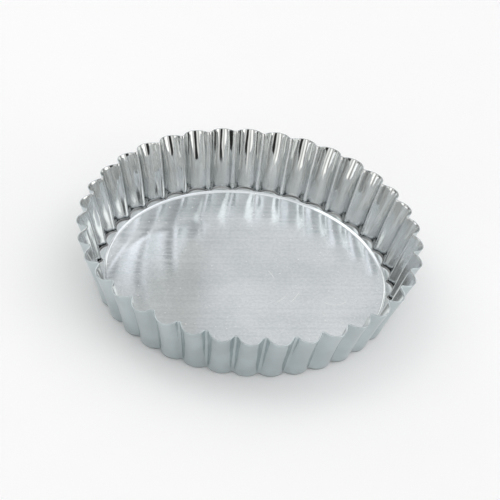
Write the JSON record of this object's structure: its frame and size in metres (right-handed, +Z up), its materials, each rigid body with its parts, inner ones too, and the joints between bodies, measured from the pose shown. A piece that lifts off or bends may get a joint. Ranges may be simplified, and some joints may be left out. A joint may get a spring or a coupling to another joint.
{
  "type": "fluted tart mould",
  "caption": "Round tinplate tart mould with a flared, fluted wall and a loose flat base that lies on an inward lip and lifts out to free the bake.",
  "frame": {"origin": "centre of the ring's foot, on the surface that the mould stands on", "axes": "+Z up along the mould's axis; flute ridges lie on +X and +Y, and the picture looks from the -Y side"},
  "size_m": [0.1196, 0.1196, 0.0217],
  "materials": {
    "ring_tinplate": "bright tinned sheet, mirror-like with faint pressing marks",
    "base_tinplate": "bright tinned sheet, slightly hazy, with fine rolling lines and scratches"
  },
  "bodies": {
    "ring": {"fluted_ring": "ring_tinplate"},
    "base": {"loose_base": "base_tinplate"}
  },
  "joints": [
    {"name": "base_lift", "type": "slide", "parent": "ring", "child": "base", "axis": [0, 0, 1], "range_m": [0, 0.04]}
  ]
}
